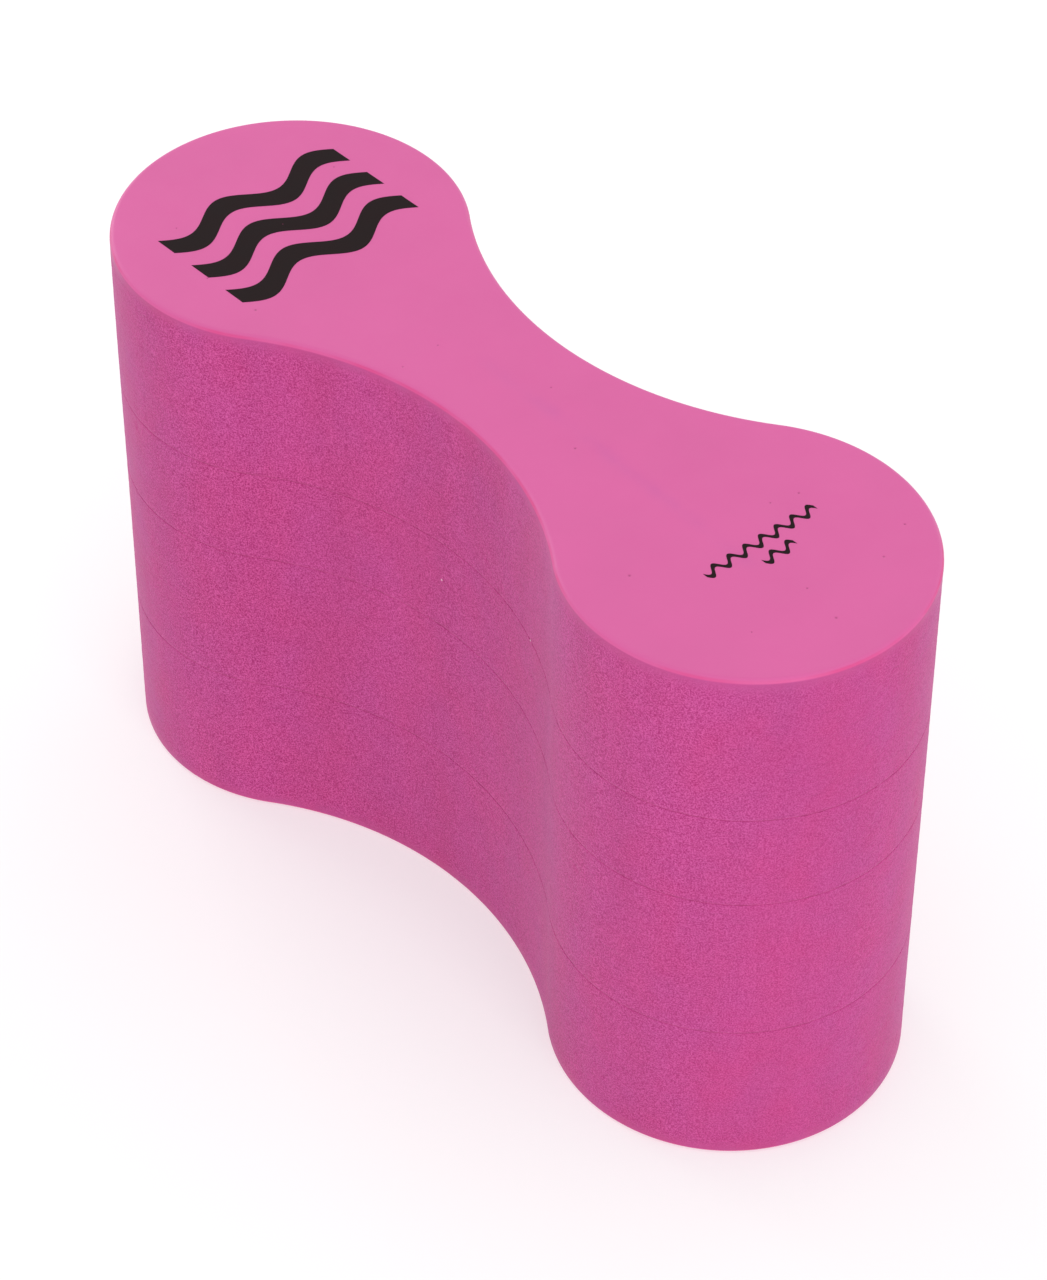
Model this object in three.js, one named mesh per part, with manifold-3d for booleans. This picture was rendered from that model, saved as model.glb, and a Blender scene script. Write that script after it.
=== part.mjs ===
// Pull buoy: a swimmer's float held between the thighs.
// Four sheets of closed-cell foam are glued face to face, the stack is cut to an hourglass outline,
// and the outer edges are rounded over. Black ink is printed on the top face.
// Millimetres, +Z up. The origin is the centre of the flat base that the buoy stands on,
// +X runs along its length, from the printed emblem towards the small print.

import * as THREE from 'three';
import { mergeVertices } from 'three/addons/utils/BufferGeometryUtils.js';
import Module from 'manifold-3d';

const wasm = await Module();
wasm.setup();

// ---- driving dimensions ----

const LENGTH = 230; // overall, along X
const WIDTH = 82; // overall, along Y, across either lobe
const WAIST = 34; // width at the narrowest place, midway between the lobes
const RIM_RADIUS = 1.25; // rounding of the top and bottom edges

const SHEET_THICKNESSES = [40, 40, 25, 40]; // foam sheets, from the base up
const GLUE_THICKNESS = 0.25; // adhesive between two sheets
const INK_THICKNESS = 0.125; // print, proud of the top face

const WAVE_LENGTH = 26; // printed emblem: wavy stripes
const WAVE_PERIODS = 2;
const WAVE_HEIGHT = 6; // crest to trough
const WAVE_STROKE = 6; // thickness of a stripe, measured across the wave's run
const WAVE_CENTRES_X = [-86.5, -74.5, -62.5];

const SMALL_WAVE_LENGTH = 4.6; // small print: two fine wavy lines
const SMALL_WAVE_HEIGHT = 2.3;
const SMALL_WAVE_STROKE = 1.3;
const LONG_LINE = { x: 74.7, y: 3.2, periods: 7 };
const SHORT_LINE = { x: 79.7, y: 3.7, periods: 2 };

// How finely curves are divided.
const ARC_SEGMENTS = 16;
const RIM_SEGMENTS = 4;
const STEPS_PER_WAVE = 20;
const STEPS_PER_SMALL_WAVE = 12;

// ---- worked-out dimensions ----

const LOBE_RADIUS = WIDTH / 2;
const LOBE_X = LENGTH / 2 - LOBE_RADIUS;

// Each waist is one arc that meets both lobes tangentially and just touches the waist's half width.
const HALF_WAIST = WAIST / 2;
const WAIST_RADIUS =
  (LOBE_X ** 2 + HALF_WAIST ** 2 - LOBE_RADIUS ** 2) / (2 * (LOBE_RADIUS - HALF_WAIST));
const WAIST_CENTRE_Y = HALF_WAIST + WAIST_RADIUS;
const TANGENT_ANGLE = Math.atan2(WAIST_CENTRE_Y, LOBE_X);

const GLUE_COUNT = SHEET_THICKNESSES.length - 1;
const FOAM_HEIGHT = SHEET_THICKNESSES.reduce((sum, t) => sum + t, 0) + GLUE_COUNT * GLUE_THICKNESS;

// ---- materials ----

const foam = new THREE.MeshStandardMaterial({ color: 0xdb5fa3, roughness: 0.75, metalness: 0 });
const glue = new THREE.MeshStandardMaterial({ color: 0xa93a78, roughness: 0.6, metalness: 0 });
const ink = new THREE.MeshStandardMaterial({ color: 0x2b2525, roughness: 0.5, metalness: 0 });

// ---- solids ----

// A closed geometry as a solid that can be joined and cut.
function toSolid(geometry) {
  const bare = geometry.clone();
  bare.deleteAttribute('normal');
  bare.deleteAttribute('uv');
  const merged = mergeVertices(bare);
  return new wasm.Manifold(new wasm.Mesh({
    numProp: 3,
    vertProperties: Float32Array.from(merged.attributes.position.array),
    triVerts: Uint32Array.from(merged.index.array),
  }));
}

function toGeometry(solid) {
  const mesh = solid.getMesh();
  const geometry = new THREE.BufferGeometry();
  geometry.setAttribute('position', new THREE.BufferAttribute(mesh.vertProperties, 3));
  geometry.setIndex(new THREE.BufferAttribute(mesh.triVerts, 1));
  geometry.computeVertexNormals();
  return geometry;
}

// The hourglass outline: two lobes joined by two waist arcs, drawn counter-clockwise.
function hourglass() {
  const lobeSweep = Math.PI - TANGENT_ANGLE;
  const outline = new THREE.Shape();
  outline.absarc(LOBE_X, 0, LOBE_RADIUS, -lobeSweep, lobeSweep, false);
  outline.absarc(0, WAIST_CENTRE_Y, WAIST_RADIUS, -TANGENT_ANGLE, -lobeSweep, true);
  outline.absarc(-LOBE_X, 0, LOBE_RADIUS, TANGENT_ANGLE, 2 * Math.PI - TANGENT_ANGLE, false);
  outline.absarc(0, -WAIST_CENTRE_Y, WAIST_RADIUS, lobeSweep, TANGENT_ANGLE, true);
  return outline;
}

// The whole stack as it is cut and rounded over, before it is divided into its layers.
function roundedStack() {
  const geometry = new THREE.ExtrudeGeometry(hourglass(), {
    depth: FOAM_HEIGHT - 2 * RIM_RADIUS,
    curveSegments: ARC_SEGMENTS,
    bevelEnabled: true,
    bevelThickness: RIM_RADIUS,
    bevelSize: RIM_RADIUS,
    bevelOffset: -RIM_RADIUS,
    bevelSegments: RIM_SEGMENTS,
  });
  geometry.translate(0, 0, RIM_RADIUS);
  return toSolid(geometry);
}

// The slice of the stack between two heights.
function layer(stack, bottom, thickness) {
  const slab = new THREE.BoxGeometry(2 * LENGTH, 2 * WIDTH, thickness);
  slab.translate(0, 0, bottom + thickness / 2);
  return toGeometry(stack.intersect(toSolid(slab)));
}

// A stripe that runs along Y and waves along X, with its middle at the origin.
function waveStripe(waveLength, periods, height, stroke, stepsPerWave) {
  const steps = periods * stepsPerWave;
  const run = periods * waveLength;
  const edge = (step, side) => new THREE.Vector2(
    (height / 2) * Math.sin((2 * Math.PI * step) / stepsPerWave) + (side * stroke) / 2,
    (step / steps - 0.5) * run,
  );
  const points = [];
  for (let step = 0; step <= steps; step += 1) {
    points.push(edge(step, 1));
  }
  for (let step = steps; step >= 0; step -= 1) {
    points.push(edge(step, -1));
  }
  return new THREE.ExtrudeGeometry(new THREE.Shape(points), {
    depth: INK_THICKNESS,
    bevelEnabled: false,
  });
}

// ---- sub-parts ----

function named(name, geometry, material) {
  const mesh = new THREE.Mesh(geometry, material);
  mesh.name = name;
  return mesh;
}

// Foam sheets with a film of glue between each two, from the base up.
function addLaminate(group) {
  const sheetNames = ['base_sheet', 'lower_middle_sheet', 'upper_middle_sheet', 'top_sheet'];
  const glueNames = ['lower_glue_film', 'middle_glue_film', 'upper_glue_film'];
  const stack = roundedStack();
  let bottom = 0;
  SHEET_THICKNESSES.forEach((thickness, i) => {
    group.add(named(sheetNames[i], layer(stack, bottom, thickness), foam));
    bottom += thickness;
    if (i < GLUE_COUNT) {
      group.add(named(glueNames[i], layer(stack, bottom, GLUE_THICKNESS), glue));
      bottom += GLUE_THICKNESS;
    }
  });
}

// Three bold wavy stripes across the lobe at -X.
function addEmblem(group) {
  const names = ['outer_wave_print', 'middle_wave_print', 'inner_wave_print'];
  WAVE_CENTRES_X.forEach((x, i) => {
    const stripe = waveStripe(WAVE_LENGTH, WAVE_PERIODS, WAVE_HEIGHT, WAVE_STROKE, STEPS_PER_WAVE);
    const mesh = named(names[i], stripe, ink);
    mesh.position.set(x, 0, FOAM_HEIGHT);
    group.add(mesh);
  });
}

// A long and a short fine wavy line on the lobe at +X.
function addSmallPrint(group) {
  const lines = { long_line_print: LONG_LINE, short_line_print: SHORT_LINE };
  Object.entries(lines).forEach(([name, { x, y, periods }]) => {
    const line = waveStripe(
      SMALL_WAVE_LENGTH, periods, SMALL_WAVE_HEIGHT, SMALL_WAVE_STROKE, STEPS_PER_SMALL_WAVE,
    );
    const mesh = named(name, line, ink);
    mesh.position.set(x, y, FOAM_HEIGHT);
    group.add(mesh);
  });
}

const pullBuoy = new THREE.Group();
addLaminate(pullBuoy);
addEmblem(pullBuoy);
addSmallPrint(pullBuoy);

export default pullBuoy;
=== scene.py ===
"""A foam pull buoy: the looks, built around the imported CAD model.

Every CAD node is replaced by a finer piece of the same size in the same place. The foam sheets get their
true round outline, rounded rims, a fine seam beside each glue line and the relief of cut and moulded foam.
Everything is in the part's own frame: +X along the length, +Z up through the stacked sheets. Lengths are in
metres, apart from the groups of numbers below that say they are in millimetres.
"""

import math

import bpy
import numpy as np
from mathutils import Matrix, Vector, noise
from mathutils.geometry import delaunay_2d_cdt


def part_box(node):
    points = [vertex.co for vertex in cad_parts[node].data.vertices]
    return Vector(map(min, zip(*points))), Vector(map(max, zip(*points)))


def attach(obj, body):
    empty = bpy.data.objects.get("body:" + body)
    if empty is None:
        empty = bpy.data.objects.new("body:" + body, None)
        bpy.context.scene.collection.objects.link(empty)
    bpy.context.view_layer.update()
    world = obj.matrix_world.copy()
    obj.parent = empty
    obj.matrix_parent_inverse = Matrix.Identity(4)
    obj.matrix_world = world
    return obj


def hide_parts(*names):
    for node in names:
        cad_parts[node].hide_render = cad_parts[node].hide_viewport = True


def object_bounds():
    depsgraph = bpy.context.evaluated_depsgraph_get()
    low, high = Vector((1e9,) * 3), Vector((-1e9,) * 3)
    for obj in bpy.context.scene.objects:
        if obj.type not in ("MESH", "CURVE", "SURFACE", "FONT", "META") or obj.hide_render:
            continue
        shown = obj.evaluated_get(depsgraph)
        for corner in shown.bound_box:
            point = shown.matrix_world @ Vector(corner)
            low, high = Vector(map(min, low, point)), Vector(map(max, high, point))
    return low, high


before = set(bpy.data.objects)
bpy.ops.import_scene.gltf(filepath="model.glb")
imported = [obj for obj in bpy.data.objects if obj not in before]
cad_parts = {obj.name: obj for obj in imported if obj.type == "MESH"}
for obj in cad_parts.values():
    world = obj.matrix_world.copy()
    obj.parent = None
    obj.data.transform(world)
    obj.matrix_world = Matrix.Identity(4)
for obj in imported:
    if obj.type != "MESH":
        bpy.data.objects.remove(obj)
cad_low, cad_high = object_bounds()
cad_middle = (cad_low + cad_high) / 2

MM = 0.001

# ---- the hourglass outline, as the part's own driving dimensions give it ----

LOBE_RADIUS = 41 * MM
HALF_WAIST = 17 * MM
HALF_LENGTH = cad_high.x
LOBE_X = HALF_LENGTH - LOBE_RADIUS
WAIST_RADIUS = (LOBE_X**2 + HALF_WAIST**2 - LOBE_RADIUS**2) / (2 * (LOBE_RADIUS - HALF_WAIST))
WAIST_CENTRE_Y = HALF_WAIST + WAIST_RADIUS
TANGENT_ANGLE = math.atan2(WAIST_CENTRE_Y, LOBE_X)
LOBE_ANGLE = math.pi - TANGENT_ANGLE  # half of the angle that a lobe's arc covers

# ---- edges ----

RIM_RADIUS = 1.25 * MM  # rounding of the buoy's top and bottom edges
SEAM_RADIUS = 0.08 * MM  # rounding of a sheet's edge beside a glue line
RIM_STEPS = 8
SEAM_STEPS = 2
GRAIN_START = 0.2 * RIM_RADIUS  # how far below a face the cut's open grain begins
GRAIN_FULL = 5 * MM  # and how far below it the grain is fully open
FACE_FADE = 4 * MM  # width inside the rim over which a flat face's relief fades in

# ---- mesh sizes ----

WALL_PITCH = 0.62 * MM  # on the cut sides
FACE_PITCH = 0.9 * MM  # on the flat faces
FACE_MARGIN = RIM_RADIUS + FACE_PITCH / 2  # from the outline to the first points inside a flat face

# ---- relief, in millimetres: layers of noise, each (height, size of its features, seed) ----
# A size is one number, or one for each of X, Y and Z.

CUT_LAYERS = (
    (0.14, (26, 26, 70), 3.1),  # slightly wavy cut
    (0.035, (3.2, 3.2, 90), 7.7),  # upright chatter of the blade
    (0.02, (18, 18, 1.7), 9.3),  # fine level lines
    (0.05, 1.5, 1.9),  # open cells
)
PIT_SIZE = 3.1
PIT_SEED = 5.5
PIT_THRESHOLD = 0.52  # only the highest peaks of the noise make a pit
PIT_DEPTH = 0.55
SKIN_LAYERS = (
    (0.03, 22, 2.2),  # broad unevenness
    (0.012, 5, 8.8),  # and a finer one
)
GLUE_LAYERS = (
    (0.06, 2.6, 4.4),  # beads along the film's edge
    (0.07, 17, 6.6),  # longer stretches of more and less glue
)
GLUE_RECESS = 0.05  # how far the film's edge lies behind the cut, on average
GLUE_BULGE = 0.04  # how much further out the middle of that edge stands than its two sides

# ---- marks on the flat faces, in millimetres; only the top has the crease and the scratch ----

PORE_COUNT = 18
PORE_TRIES = 400  # places drawn, of which the first that lie on the face are kept
PORE_SEED = 11
PORE_RADII = (0.12, 0.26)  # smallest and largest
PORE_DEPTH = 0.16
PORE_MARGIN = 3  # between a pore and the outline
PORE_RINGS = (0.7, 1.5, 2.3)  # radii of the rings of mesh points round a pore, in its own radii
PORE_CLEARANCE = 2.6  # from a pore to the even lattice round it, in its own radii
PORE_RING_POINTS = 10
CREASE = ((-8.0, 0.5), (78.0, -3.4))
CREASE_WIDTH = 1.3
CREASE_DEPTH = 0.035
CREASE_TINT_WIDTH = 1.8
SCRATCH = ((22.5, 16.8), (27.0, 13.6))
SCRATCH_WIDTH = 0.3
SCRATCH_DEPTH = 0.03

# ---- print ----

EMBLEM_WAVE = {"wave_height": 6 * MM, "stroke": 6 * MM, "steps_per_wave": 60}
EMBLEM_PERIODS = 2
SMALL_WAVE = {"wave_height": 2.3 * MM, "stroke": 1.3 * MM, "steps_per_wave": 24}
SMALL_PERIODS = {"long": 7, "short": 2}
INK_SINK = 0.05 * MM  # how far the ink reaches into the foam
INK_EDGE = 0.25  # height of the film's upright edge, as a share of the CAD film's thickness
INK_TOP = 0.6  # height of its top, as the same share
INK_SLOPE = 0.5  # width of the slope between the two, as the same share


# ---- outline ----


def outline(count, inset=0.0):
    """Evenly spaced points round the hourglass, counter-clockwise and moved inwards by inset, and the
    outward normals there."""
    arcs = np.array(
        [
            (LOBE_X, 0, LOBE_RADIUS, -LOBE_ANGLE, LOBE_ANGLE),
            (0, WAIST_CENTRE_Y, WAIST_RADIUS, -TANGENT_ANGLE, -LOBE_ANGLE),
            (-LOBE_X, 0, LOBE_RADIUS, TANGENT_ANGLE, 2 * math.pi - TANGENT_ANGLE),
            (0, -WAIST_CENTRE_Y, WAIST_RADIUS, LOBE_ANGLE, TANGENT_ANGLE),
        ]
    )
    centre_x, centre_y, radius, start, end = arcs.T
    lengths = radius * np.abs(end - start)
    ends = np.cumsum(lengths)
    along = np.arange(count) * ends[-1] / count
    arc = np.searchsorted(ends, along, side="right")
    share = (along - (ends - lengths)[arc]) / lengths[arc]
    angle = start[arc] + share * (end - start)[arc]
    radial = np.stack([np.cos(angle), np.sin(angle)], 1)
    points = np.stack([centre_x[arc], centre_y[arc]], 1) + radius[arc, None] * radial
    normals = radial * np.sign(end - start)[arc, None]
    return points - inset * normals, normals


def wall_columns():
    """How many points a ring of the wall has."""
    length = 4 * (LOBE_RADIUS * LOBE_ANGLE + WAIST_RADIUS * (math.pi / 2 - TANGENT_ANGLE))
    return round(length / WALL_PITCH)


def depth_inside(points):
    """How far each point lies inside the hourglass; negative outside it."""
    x, y = np.abs(points[:, 0]), np.abs(points[:, 1])
    beside_lobe = LOBE_RADIUS - np.hypot(x - LOBE_X, y)
    beside_waist = np.hypot(x, WAIST_CENTRE_Y - y) - WAIST_RADIUS
    nearer_waist = x * WAIST_CENTRE_Y + y * LOBE_X < LOBE_X * WAIST_CENTRE_Y
    return np.where(nearer_waist, beside_waist, beside_lobe)


# ---- relief ----


def smoothstep(low, high, value):
    share = np.clip((value - low) / (high - low), 0, 1)
    return share * share * (3 - 2 * share)


def noise_at(points, size, seed):
    """Smooth noise from -1 to 1 at each point, with features of size millimetres."""
    scaled = points / (np.array(size) * MM) + seed
    return np.array([noise.noise(Vector(p)) for p in scaled])


def layered_noise(points, layers):
    return sum(height * noise_at(points, size, seed) for height, size, seed in layers)


def wall_relief(points):
    """How far cut foam stands proud of the outline."""
    pits = np.clip(noise_at(points, PIT_SIZE, PIT_SEED) - PIT_THRESHOLD, 0, None)
    return (layered_noise(points, CUT_LAYERS) - PIT_DEPTH * pits) * MM


def groove(points, ends, width):
    """From 0 to 1, how near each point of a face lies to the segment between two ends, in millimetres."""
    a, b = (np.array(end) * MM for end in ends)
    along = np.clip((points - a) @ (b - a) / ((b - a) @ (b - a)), 0, 1)
    distance = np.hypot(*(points - a - along[:, None] * (b - a)).T)
    return np.exp(-((distance / (width * MM)) ** 2))


def distances(points, centres):
    """Distance from every point to every centre, with a row for each point."""
    return np.hypot(*(points[:, None] - centres).transpose(2, 0, 1))


def pore_places(seed):
    """Centres and radii of small pores scattered over a flat face."""
    random = np.random.default_rng(seed)
    reach = np.array((HALF_LENGTH, LOBE_RADIUS))
    spots = random.uniform(-reach, reach, (PORE_TRIES, 2))
    spots = spots[depth_inside(spots) > PORE_MARGIN * MM][:PORE_COUNT]
    return spots, random.uniform(*PORE_RADII, len(spots)) * MM


def pore_nearness(points, pores):
    """From 0 to 1, how deep in a pore each point of the face lies."""
    centres, radii = pores
    return np.exp(-((distances(points, centres) / radii) ** 2)).max(1)


def face_relief(points, pores, marked):
    """Height of the moulded skin: broad unevenness, pores and, on the marked face, a crease and a scratch."""
    height = layered_noise(np.c_[points, np.zeros(len(points))], SKIN_LAYERS)
    height -= PORE_DEPTH * pore_nearness(points, pores)
    if marked:
        height -= CREASE_DEPTH * groove(points, CREASE, CREASE_WIDTH)
        height -= SCRATCH_DEPTH * groove(points, SCRATCH, SCRATCH_WIDTH)
    return height * MM


# ---- meshes ----

NO_POINTS = np.zeros((0, 2))
MERGE_DISTANCE = 1e-9  # points nearer than this count as one when a face is filled
SHARP_ANGLE = 50  # degrees between two faces above which their edge looks sharp
INK_SHARP_ANGLE = 20


def make_mesh(name, vertices, faces, attributes=None, sharp_angle=SHARP_ANGLE):
    """A smooth-shaded piece in the scene, with a number at each point for each attribute."""
    mesh = bpy.data.meshes.new(name)
    mesh.from_pydata(vertices.tolist(), [], faces)
    for key, values in (attributes or {}).items():
        layer = mesh.attributes.new(key, "FLOAT", "POINT")
        layer.data.foreach_set("value", values.astype(np.float32))
    mesh.validate()
    mesh.shade_smooth()
    mesh.set_sharp_from_angle(angle=math.radians(sharp_angle))
    piece = bpy.data.objects.new(name, mesh)
    bpy.context.scene.collection.objects.link(piece)
    return piece


def face_points(pores):
    """Points that fill a flat face: an even triangular lattice, with rings round each pore."""
    rows = np.arange(-LOBE_RADIUS, LOBE_RADIUS, FACE_PITCH * math.sqrt(0.75))
    columns = np.arange(-HALF_LENGTH, HALF_LENGTH, FACE_PITCH)
    lattice = np.array([(x + (i % 2) * FACE_PITCH / 2, y) for i, y in enumerate(rows) for x in columns])
    centres, radii = pores
    lattice = lattice[(distances(lattice, centres) > PORE_CLEARANCE * radii).all(1)]
    turn = np.arange(PORE_RING_POINTS) * 2 * math.pi / PORE_RING_POINTS
    spokes = np.stack([np.cos(turn), np.sin(turn)], 1)
    rings = [centres + share * radii[:, None] * spoke for share in PORE_RINGS for spoke in spokes]
    points = np.concatenate([lattice, centres, *rings])
    return points[depth_inside(points) > FACE_MARGIN]


def triangulate(boundary, inner=NO_POINTS):
    """Triangles, counter-clockwise, that fill a closed boundary through the inner points.
    A triangle's numbers count the boundary's points first and then the inner ones."""
    count = len(boundary)
    edges = [(i, (i + 1) % count) for i in range(count)]
    points = [Vector(p) for p in np.concatenate([boundary, inner]).tolist()]
    _, _, faces, origins, _, _ = delaunay_2d_cdt(points, edges, [], 1, MERGE_DISTANCE)
    return [tuple(origins[i][0] for i in face) for face in faces]


def ring_faces(rows, columns):
    """Quads of a closed wall of rings, facing out."""
    faces = []
    for row in range(rows - 1):
        for column in range(columns):
            beside = (column + 1) % columns
            low, high = row * columns, (row + 1) * columns
            faces.append((low + column, low + beside, high + beside, high + column))
    return faces


def closed_stack(rings):
    """Faces of a wall of rings that is closed below and above by a flat face."""
    count = len(rings[0])
    faces = ring_faces(len(rings), count)
    faces += [triangle[::-1] for triangle in triangulate(rings[0][:, :2])]
    top_ring = (len(rings) - 1) * count
    faces += [tuple(top_ring + i for i in triangle) for triangle in triangulate(rings[-1][:, :2])]
    return faces


def edge_rows(is_rim):
    """(inset, distance from the face) along a quarter-round edge, from the flat face to the wall."""
    radius, steps = (RIM_RADIUS, RIM_STEPS) if is_rim else (SEAM_RADIUS, SEAM_STEPS)
    turns = [step * math.pi / 2 / steps for step in range(steps + 1)]
    return [(radius * (1 - math.sin(turn)), radius * (1 - math.cos(turn))) for turn in turns]


def sheet_rows(bottom, top, rim_below, rim_above):
    """(inset, height) of each ring of a sheet's wall, from its lower face to its upper one."""
    low, high = edge_rows(rim_below), edge_rows(rim_above)
    start, end = bottom + low[-1][1], top - high[-1][1]
    steps = round((end - start) / WALL_PITCH)
    wall = [(0.0, start + (end - start) * step / steps) for step in range(1, steps)]
    return [(i, bottom + z) for i, z in low] + wall + [(i, top - z) for i, z in reversed(high)]


def moulded_face(top_side):
    """Points of a flat face inside its rim, how far each sinks in, and how its marks look there."""
    pores = pore_places(PORE_SEED + top_side)
    points = face_points(pores)
    fade = smoothstep(0, FACE_FADE, depth_inside(points) - RIM_RADIUS)
    sunk = np.maximum(-face_relief(points, pores, top_side) * fade, 0)
    crease = top_side * groove(points, CREASE, CREASE_TINT_WIDTH)
    return points, sunk, {"skin": 1.0, "pore": pore_nearness(points, pores), "crease": crease}


def foam_sheet(name, node, rim_below, rim_above):
    """A closed foam sheet. Its attributes say where each of its looks shows, from 0 to 1: skin is the flat
    moulded face, grain the open cells of the cut away from a rim, pore and crease the marks on a face."""
    low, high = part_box(node)
    columns = wall_columns()
    _, normals = outline(columns)
    vertices = []
    looks = {"skin": [], "grain": [], "pore": [], "crease": []}

    def add(points, shares):
        vertices.append(points)
        for look, parts in looks.items():
            parts.append(np.broadcast_to(shares.get(look, 0.0), len(points)))

    rows = sheet_rows(low.z, high.z, rim_below, rim_above)
    for inset, z in rows:
        points, _ = outline(columns, inset)
        ring = np.c_[points, np.full(columns, z)]
        to_face = min(z - low.z if rim_below else math.inf, high.z - z if rim_above else math.inf)
        grain = smoothstep(GRAIN_START, GRAIN_FULL, to_face)
        ring[:, :2] += normals * (grain * wall_relief(ring))[:, None]
        add(ring, {"skin": 1 - smoothstep(0, RIM_RADIUS, to_face), "grain": grain})
    faces = ring_faces(len(rows), columns)

    for top_side, is_rim in ((False, rim_below), (True, rim_above)):
        edge_row = len(rows) - 1 if top_side else 0
        boundary = vertices[edge_row][:, :2]
        inner = NO_POINTS
        inner_start = sum(len(part) for part in vertices)
        if is_rim:
            inner, sunk, shares = moulded_face(top_side)
            add(np.c_[inner, high.z - sunk if top_side else low.z + sunk], shares)
        # The mesh's own numbers of the boundary's points and then of the inner ones.
        edge_start = edge_row * columns
        numbers = [*range(edge_start, edge_start + columns), *range(inner_start, inner_start + len(inner))]
        for triangle in triangulate(boundary, inner):
            corners = tuple(numbers[i] for i in triangle)
            faces.append(corners if top_side else corners[::-1])

    attributes = {look: np.concatenate(parts) for look, parts in looks.items()}
    return make_mesh(name, np.concatenate(vertices), faces, attributes)


def glue_film(name, node):
    """The cured film between two sheets, with an uneven edge that lies a little behind the cut."""
    low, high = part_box(node)
    columns = wall_columns()
    points, normals = outline(columns)
    middle = (low.z + high.z) / 2
    centre_line = np.c_[points, np.full(columns, middle)]
    recess = (GLUE_RECESS + layered_noise(centre_line, GLUE_LAYERS)) * MM
    outwards = wall_relief(centre_line) - recess
    rings = []
    for back, z in ((GLUE_BULGE * MM, low.z), (0.0, middle), (GLUE_BULGE * MM, high.z)):
        rings.append(np.c_[points + normals * (outwards - back)[:, None], np.full(columns, z)])
    return make_mesh(name, np.concatenate(rings), closed_stack(rings))


def unit(vectors):
    """Each row made one long."""
    return vectors / np.linalg.norm(vectors, axis=1)[:, None]


def wave_print(name, node, periods, wave_height, stroke, steps_per_wave):
    """A printed wavy stripe along Y: a thin film whose edges slope down to the foam."""
    low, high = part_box(node)
    phase = np.arange(periods * steps_per_wave + 1) / (periods * steps_per_wave)
    y = low.y + phase * (high.y - low.y)
    x = (low.x + high.x) / 2 + wave_height / 2 * np.sin(2 * math.pi * periods * phase)
    outer = np.concatenate([np.c_[x + stroke / 2, y], np.c_[x - stroke / 2, y][::-1]])
    tangent = unit(unit(np.roll(outer, -1, 0) - outer) + unit(outer - np.roll(outer, 1, 0)))
    thickness = high.z - low.z
    inner = outer - INK_SLOPE * thickness * np.c_[tangent[:, 1], -tangent[:, 0]]
    rings = [
        np.c_[outer, np.full(len(outer), low.z - INK_SINK)],
        np.c_[outer, np.full(len(outer), low.z + INK_EDGE * thickness)],
        np.c_[inner, np.full(len(inner), low.z + INK_TOP * thickness)],
    ]
    return make_mesh(name, np.concatenate(rings), closed_stack(rings), sharp_angle=INK_SHARP_ANGLE)


# ---- shader nodes ----


def add_node(tree, kind, inputs=None, **settings):
    """A new node. An input's value is another node's output, which is linked, or a plain value."""
    node = tree.nodes.new(kind)
    for key, value in settings.items():
        setattr(node, key, value)
    for key, value in (inputs or {}).items():
        if isinstance(value, bpy.types.NodeSocket):
            tree.links.new(value, node.inputs[key])
        else:
            node.inputs[key].default_value = value
    return node


def new_material(name):
    material = bpy.data.materials.new(name)
    material.use_nodes = True
    tree = material.node_tree
    return material, tree, tree.nodes["Principled BSDF"]


def coordinates(tree, stretch=(1, 1, 1)):
    """The point in the part's frame, with each axis multiplied by stretch: below 1 draws a pattern out."""
    place = add_node(tree, "ShaderNodeTexCoord").outputs["Object"]
    if stretch == (1, 1, 1):
        return place
    return add_node(tree, "ShaderNodeVectorMath", {0: place, 1: stretch}, operation="MULTIPLY").outputs[0]


def noise_value(tree, size, detail, stretch=(1, 1, 1)):
    """Noise from 0 to 1, mostly near 0.5, with features about size across where stretch is 1."""
    inputs = {"Vector": coordinates(tree, stretch), "Scale": 1 / size, "Detail": detail}
    return add_node(tree, "ShaderNodeTexNoise", inputs).outputs["Fac"]


def cell_distance(tree, size):
    """Distance to the nearest of many scattered points about size apart, in units of size."""
    inputs = {"Vector": coordinates(tree), "Scale": 1 / size}
    return add_node(tree, "ShaderNodeTexVoronoi", inputs, feature="F1").outputs["Distance"]


def attribute(tree, name):
    return add_node(tree, "ShaderNodeAttribute", attribute_name=name).outputs["Fac"]


def remap(tree, value, from_low, from_high, to_low=0.0, to_high=1.0):
    """The value carried from one range to another, and held at the ends of the second."""
    inputs = {
        "Value": value,
        "From Min": from_low,
        "From Max": from_high,
        "To Min": to_low,
        "To Max": to_high,
    }
    return add_node(tree, "ShaderNodeMapRange", inputs).outputs["Result"]


def math_node(tree, operation, a, b):
    return add_node(tree, "ShaderNodeMath", {0: a, 1: b}, operation=operation).outputs[0]


def mix_value(tree, factor, a, b):
    return add_node(tree, "ShaderNodeMix", {0: factor, 2: a, 3: b}, data_type="FLOAT").outputs[0]


def mix_colour(tree, factor, a, b):
    """Colour a where the factor is 0 and b where it is 1. Either is an output or red, green and blue."""
    a, b = (colour if isinstance(colour, bpy.types.NodeSocket) else (*colour, 1.0) for colour in (a, b))
    return add_node(tree, "ShaderNodeMix", {0: factor, 6: a, 7: b}, data_type="RGBA").outputs[2]


def scale_colour(tree, colour, factor):
    """The colour times a grey factor."""
    inputs = {0: colour, "Scale": factor}
    return add_node(tree, "ShaderNodeVectorMath", inputs, operation="SCALE").outputs[0]


def add_bump(tree, bsdf, height, strength, distance):
    inputs = {"Height": height, "Strength": strength, "Distance": distance}
    bump = add_node(tree, "ShaderNodeBump", inputs)
    tree.links.new(bump.outputs["Normal"], bsdf.inputs["Normal"])


# ---- materials ----

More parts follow.
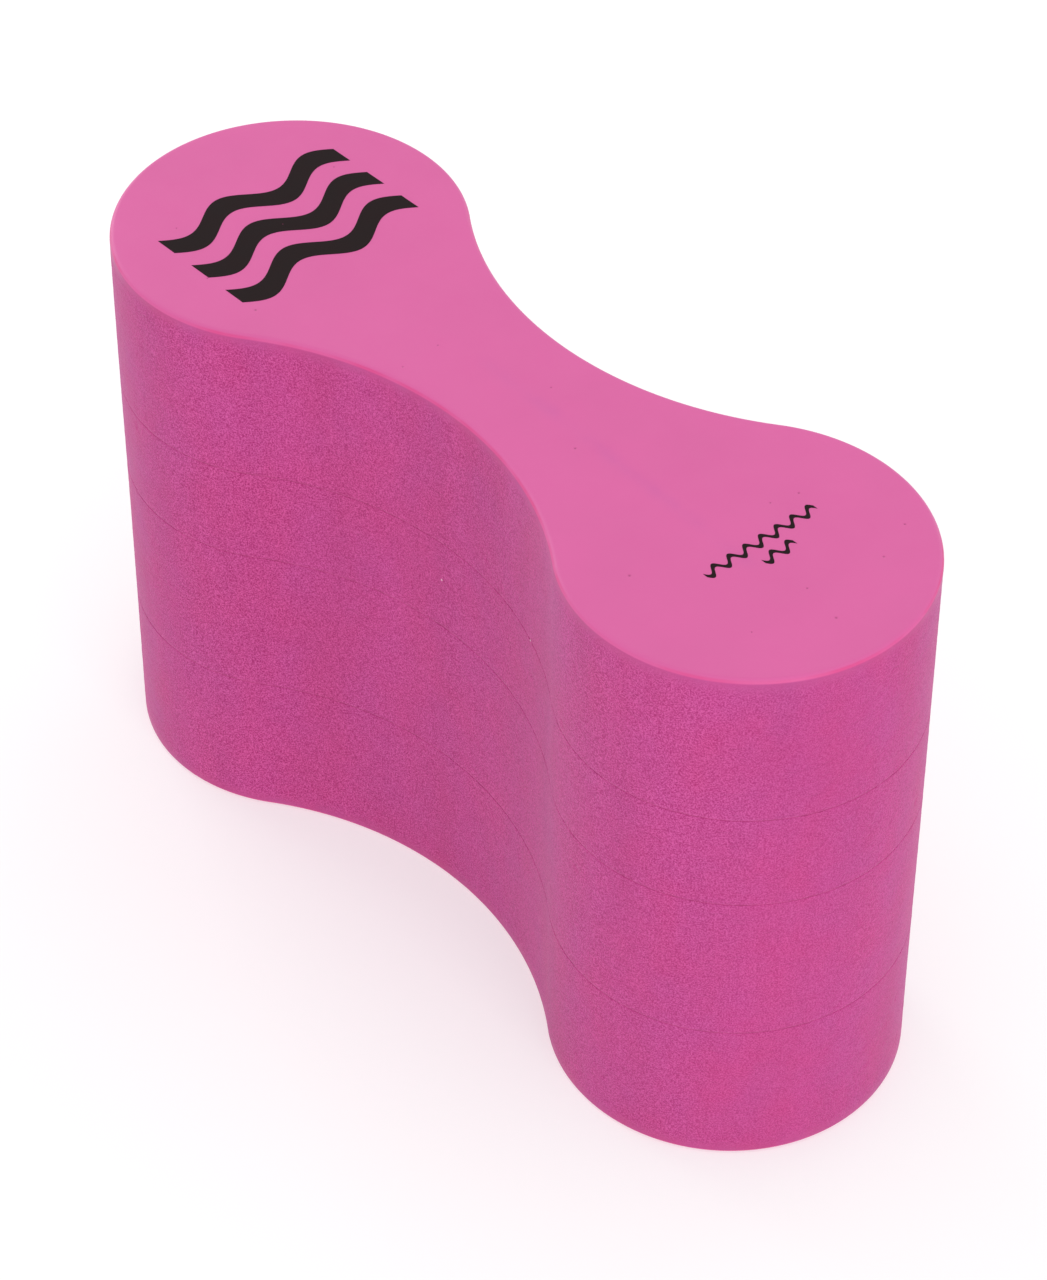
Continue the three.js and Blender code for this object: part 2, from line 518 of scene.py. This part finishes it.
CUT_SHADED_GRAIN = (0.325, 0.002, 0.118)  # the foam's darker grain, with painted shade inside the cut cells
CUT_LIT_GRAIN = (0.665, 0.097, 0.350)  # and its paler grain, with painted light on the cells' walls
CUT_HOT = (0.50, 0.041, 0.215)  # the two tints of the cut's evener stretches
CUT_LILAC = (0.48, 0.051, 0.237)
WASH_WARM = (1.015, 0.965, 0.96)  # two very slight washes, which multiply the cut's colour
WASH_COOL = (0.985, 1.035, 1.04)
SPECK_PINK = (0.80, 0.52, 0.62)
# the moulded skin's own pink, made lighter by painted light from above
SKIN_PINK_AND_TOP_LIGHT = (0.691, 0.110, 0.345)
RIM_PINK = (0.68, 0.058, 0.250)
# painted shade in the pores
PORE_SHADE_PINK = (0.40, 0.050, 0.185)
CREASE_LILAC = (0.56, 0.098, 0.360)
SHEEN_LILAC = (0.85, 0.80, 1.0, 1.0)
GLUE_COLOURS = ((0.40, 0.032, 0.166), (0.54, 0.048, 0.238))
INK_COLOURS = ((0.011, 0.0045, 0.0052), (0.015, 0.0065, 0.0072))
PINHOLE_PINK = (0.20, 0.03, 0.09)
FLOOR_GREYS = ((0.61, 0.61, 0.61), (0.63, 0.63, 0.63))
WHITE = (1, 1, 1, 1)

CELL_SIZE = 0.5 * MM  # of the cut's open cells
GRAIN_SIZE = 0.33 * MM  # of the finer grain between them
DASH_SIZE = 9 * MM
BAND_SIZE = 13 * MM
CLOUD_SIZE = 14 * MM  # of the washes
BLOTCH_SIZE = 9 * MM  # of the tints, and of the stronger and weaker stretches of the crease's lilac line
PATCH_SIZE = 45 * MM  # of the evener stretches
SPECK_SPACING = 26 * MM
MOTTLE_SIZE = 24 * MM  # of the skin's colour
SKIN_GRAIN_SIZE = 0.35 * MM
GLOSS_SIZE = 7 * MM  # of the skin's glossier spots
RIM_SIZE = 16 * MM  # of stronger and weaker stretches of the rim
GLUE_SIZE = 5 * MM
INK_SIZE = 6 * MM
INK_GRAIN_SIZE = 0.4 * MM
PINHOLE_SPACING = 6 * MM


def cut_evenness(tree):
    """How far the cut's grain gives way to an even tint: little along the sides, more at the two ends."""
    along = add_node(tree, "ShaderNodeSeparateXYZ", {0: coordinates(tree)}).outputs["X"]
    past_emblem = remap(tree, along, -60 * MM, -10 * MM, 0.05, 0.2)
    emblem_end = remap(tree, along, -68 * MM, -86 * MM, 0.0, 0.55)
    other_end = remap(tree, along, 94 * MM, 111 * MM, 0.0, 0.25)
    patches = remap(tree, noise_value(tree, PATCH_SIZE, detail=1), 0.35, 0.65, 0.0, 0.12)
    ends = math_node(tree, "ADD", emblem_end, other_end)
    return math_node(tree, "ADD", math_node(tree, "ADD", past_emblem, ends), patches)


def cut_colour(tree, open_grain, cells, grain, blotches):
    """Cut foam: its grain, with painted shade in the cells and painted light on their walls, soft bands and
    washes, darker dashes and a rare pale speck.
    """
    # How far each point takes the lit colour: painted light and shade on the grain, and painted shade sunk
    # into each cell.
    grain_part = remap(tree, grain, 0.38, 0.62, 0.0, 0.8)
    cell_shading = remap(tree, cells, 0.2, 0.8, 0.0, 0.2)
    colour = mix_colour(tree, math_node(tree, "ADD", grain_part, cell_shading), CUT_SHADED_GRAIN, CUT_LIT_GRAIN)
    tint = mix_colour(tree, remap(tree, blotches, 0.35, 0.65), CUT_HOT, CUT_LILAC)
    colour = mix_colour(tree, mix_value(tree, open_grain, 1.0, cut_evenness(tree)), colour, tint)

    clouds = noise_value(tree, CLOUD_SIZE, detail=4, stretch=(1, 1, 0.6))
    wash = mix_colour(tree, remap(tree, clouds, 0.35, 0.65), WASH_WARM, WASH_COOL)
    colour = add_node(tree, "ShaderNodeVectorMath", {0: colour, 1: wash}, operation="MULTIPLY").outputs[0]
    bands = noise_value(tree, BAND_SIZE, detail=3, stretch=(1, 1, 0.15))
    colour = scale_colour(tree, colour, remap(tree, bands, 0.3, 0.7, 0.96, 1.04))
    dashes = noise_value(tree, DASH_SIZE, detail=3, stretch=(1, 1, 20))
    colour = scale_colour(tree, colour, remap(tree, dashes, 0.60, 0.74, 1.0, 0.90))
    specks = remap(tree, cell_distance(tree, SPECK_SPACING), 0.008, 0.014, 1.0, 0.0)
    return mix_colour(tree, specks, colour, SPECK_PINK)


def skin_colour(tree, blotches):
    """Moulded skin, mottled very slightly and lightened by painted light from above, with a lilac line along
    the crease and painted shade in the pores.
    """
    mottle = noise_value(tree, MOTTLE_SIZE, detail=4)
    colour = scale_colour(tree, SKIN_PINK_AND_TOP_LIGHT, remap(tree, mottle, 0.25, 0.75, 0.975, 1.025))
    # A lilac line along the crease, stronger in some stretches than others.
    crease_tint_strength = remap(tree, blotches, 0.40, 0.65, 0.05, 0.28)
    crease_tint = math_node(tree, "MULTIPLY", attribute(tree, "crease"), crease_tint_strength)
    colour = mix_colour(tree, crease_tint, colour, CREASE_LILAC)
    # Painted shade in the pores.
    return mix_colour(tree, attribute(tree, "pore"), colour, PORE_SHADE_PINK)


def foam_material():
    """Pink closed-cell foam: grainy where it is cut, smooth on its moulded skin, and denser at the rim."""
    material, tree, bsdf = new_material("foam")
    skin = attribute(tree, "skin")
    open_grain = attribute(tree, "grain")
    cells = cell_distance(tree, CELL_SIZE)
    grain = noise_value(tree, GRAIN_SIZE, detail=2)
    blotches = noise_value(tree, BLOTCH_SIZE, detail=3)

    cut = cut_colour(tree, open_grain, cells, grain, blotches)
    smooth = skin_colour(tree, blotches)
    rim_strength = remap(tree, noise_value(tree, RIM_SIZE, detail=3), 0.4, 0.6, 0.25, 1.0)
    rim = mix_colour(tree, rim_strength, smooth, RIM_PINK)
    colour = mix_colour(tree, remap(tree, skin, 0.04, 0.3), cut, rim)
    colour = mix_colour(tree, remap(tree, skin, 0.7, 0.92), colour, smooth)
    tree.links.new(colour, bsdf.inputs["Base Color"])

    cut_height = math_node(tree, "ADD", math_node(tree, "MULTIPLY", cells, 0.6), grain)
    skin_height = math_node(tree, "MULTIPLY", noise_value(tree, SKIN_GRAIN_SIZE, detail=2), 0.12)
    add_bump(tree, bsdf, mix_value(tree, open_grain, skin_height, cut_height), 0.55, 0.22 * MM)

    skin_roughness = remap(tree, noise_value(tree, GLOSS_SIZE, detail=3), 0.3, 0.7, 0.46, 0.58)
    tree.links.new(mix_value(tree, open_grain, skin_roughness, 0.85), bsdf.inputs["Roughness"])
    bsdf.inputs["IOR"].default_value = 1.45
    bsdf.inputs["Sheen Weight"].default_value = 0.20
    bsdf.inputs["Sheen Tint"].default_value = SHEEN_LILAC
    bsdf.inputs["Sheen Roughness"].default_value = 0.35
    return material


def glue_material():
    """Cured adhesive that has taken up some of the foam's pink."""
    material, tree, bsdf = new_material("glue")
    patches = remap(tree, noise_value(tree, GLUE_SIZE, detail=4), 0.35, 0.65)
    tree.links.new(mix_colour(tree, patches, *GLUE_COLOURS), bsdf.inputs["Base Color"])
    bsdf.inputs["Roughness"].default_value = 0.7
    return material


def ink_material():
    """Matt black print, a little uneven, with the odd pinhole."""
    material, tree, bsdf = new_material("ink")
    density = noise_value(tree, INK_SIZE, detail=4)
    ink = mix_colour(tree, remap(tree, density, 0.3, 0.7), *INK_COLOURS)
    holes = remap(tree, cell_distance(tree, PINHOLE_SPACING), 0.015, 0.03, 1.0, 0.0)
    tree.links.new(mix_colour(tree, holes, ink, PINHOLE_PINK), bsdf.inputs["Base Color"])
    add_bump(tree, bsdf, noise_value(tree, INK_GRAIN_SIZE, detail=2), 0.2, 0.05 * MM)
    tree.links.new(remap(tree, density, 0.3, 0.7, 0.5, 0.62), bsdf.inputs["Roughness"])
    bsdf.inputs["Specular IOR Level"].default_value = 0.09
    return material


def floor_material():
    """A white light table: it glows a little, so that the buoy's lower half isn't in the dark."""
    material, tree, bsdf = new_material("floor")
    shade = remap(tree, noise_value(tree, 0.6, detail=2), 0.3, 0.7)
    tree.links.new(mix_colour(tree, shade, *FLOOR_GREYS), bsdf.inputs["Base Color"])
    bsdf.inputs["Roughness"].default_value = 0.9
    bsdf.inputs["Specular IOR Level"].default_value = 0.1
    bsdf.inputs["Emission Color"].default_value = WHITE
    bsdf.inputs["Emission Strength"].default_value = 0.42
    return material


# ---- pieces ----


def finish_piece(piece, node, material):
    piece.data.materials.append(material)
    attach(piece, "root")
    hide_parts(node)


def build_laminate():
    """Four sheets of foam, of which the first and the last have a rim, and the glue between them."""
    foam = foam_material()
    for place in ("base", "lower_middle", "upper_middle", "top"):
        node = f"{place}_sheet"
        piece = foam_sheet(f"{place}_foam", node, rim_below=(place == "base"), rim_above=(place == "top"))
        finish_piece(piece, node, foam)
    glue = glue_material()
    for place in ("lower", "middle", "upper"):
        node = f"{place}_glue_film"
        finish_piece(glue_film(f"{place}_glue", node), node, glue)


def build_print():
    """The emblem's three stripes, and the two fine lines on the other lobe."""
    ink = ink_material()
    for place in ("outer", "middle", "inner"):
        node = f"{place}_wave_print"
        piece = wave_print(f"{place}_wave", node, EMBLEM_PERIODS, **EMBLEM_WAVE)
        finish_piece(piece, node, ink)
    for place, periods in SMALL_PERIODS.items():
        node = f"{place}_line_print"
        piece = wave_print(f"{place}_line", node, periods, **SMALL_WAVE)
        finish_piece(piece, node, ink)


# ---- studio ----

CAMERA_AZIMUTH = math.radians(47.575)
CAMERA_ELEVATION = math.radians(42.855)
CAMERA_ROLL = math.radians(0.188)
CAMERA_DISTANCE = 0.9897
CAMERA_SLIDE_RIGHT = 3.30 * MM
CAMERA_SLIDE_UP = -3.49 * MM
CAMERA_LENS = 121.47  # millimetres
SENSOR_WIDTH = 36  # millimetres

FLOOR_HALF_SIZE = 3.0
FLOOR_LEVEL = -0.1 * MM  # just below the buoy's base, so that the two faces don't coincide
SKY_STRENGTH = 0.89
SOFT_BOX_SIDE = 0.9
SOFT_BOXES = {  # place and power in watts
    "right_side": ((1.4, -0.5, 0.7), 5.6),
    "left_side": ((-1.35, 0.1, 0.5), 5.0),
    "back": ((-0.3, 1.5, 0.7), 1.6),
}


def build_camera():
    """The camera looks past the buoy's middle, from the side of its small print."""
    level = math.cos(CAMERA_ELEVATION)
    back = Vector(
        (math.sin(CAMERA_AZIMUTH) * level, -math.cos(CAMERA_AZIMUTH) * level, math.sin(CAMERA_ELEVATION))
    )
    right = Vector((0, 0, 1)).cross(back).normalized()
    right.rotate(Matrix.Rotation(CAMERA_ROLL, 3, back))
    up = back.cross(right)
    data = bpy.data.cameras.new("camera")
    data.lens = CAMERA_LENS
    data.sensor_width = SENSOR_WIDTH
    data.clip_start = 0.05
    camera = bpy.data.objects.new("camera", data)
    axes = Matrix((right, up, back)).transposed().to_4x4()
    place = cad_middle + back * CAMERA_DISTANCE + right * CAMERA_SLIDE_RIGHT + up * CAMERA_SLIDE_UP
    camera.matrix_world = Matrix.Translation(place) @ axes
    bpy.context.scene.collection.objects.link(camera)
    bpy.context.scene.camera = camera


def soft_box(name, place, power):
    """A square lamp that faces the buoy's middle."""
    data = bpy.data.lights.new(name, "AREA")
    data.size = SOFT_BOX_SIDE
    data.energy = power
    lamp = bpy.data.objects.new(name, data)
    lamp.location = place
    lamp.rotation_euler = (Vector(place) - cad_middle).to_track_quat("Z", "Y").to_euler()
    lamp.visible_camera = False
    bpy.context.scene.collection.objects.link(lamp)


def build_floor():
    half = FLOOR_HALF_SIZE
    corners = [(x, y, FLOOR_LEVEL) for x, y in ((-half, -half), (half, -half), (half, half), (-half, half))]
    mesh = bpy.data.meshes.new("floor")
    mesh.from_pydata(corners, [], [(0, 1, 2, 3)])
    mesh.materials.append(floor_material())
    floor = bpy.data.objects.new("floor", mesh)
    bpy.context.scene.collection.objects.link(floor)


def build_lights():
    world = bpy.data.worlds.new("studio")
    world.use_nodes = True
    background = world.node_tree.nodes["Background"]
    background.inputs["Color"].default_value = WHITE
    background.inputs["Strength"].default_value = SKY_STRENGTH
    bpy.context.scene.world = world
    for name, (place, power) in SOFT_BOXES.items():
        soft_box(name, place, power)
    bpy.context.scene.view_settings.view_transform = "Standard"


build_camera()
build_laminate()
build_print()
build_floor()
build_lights()
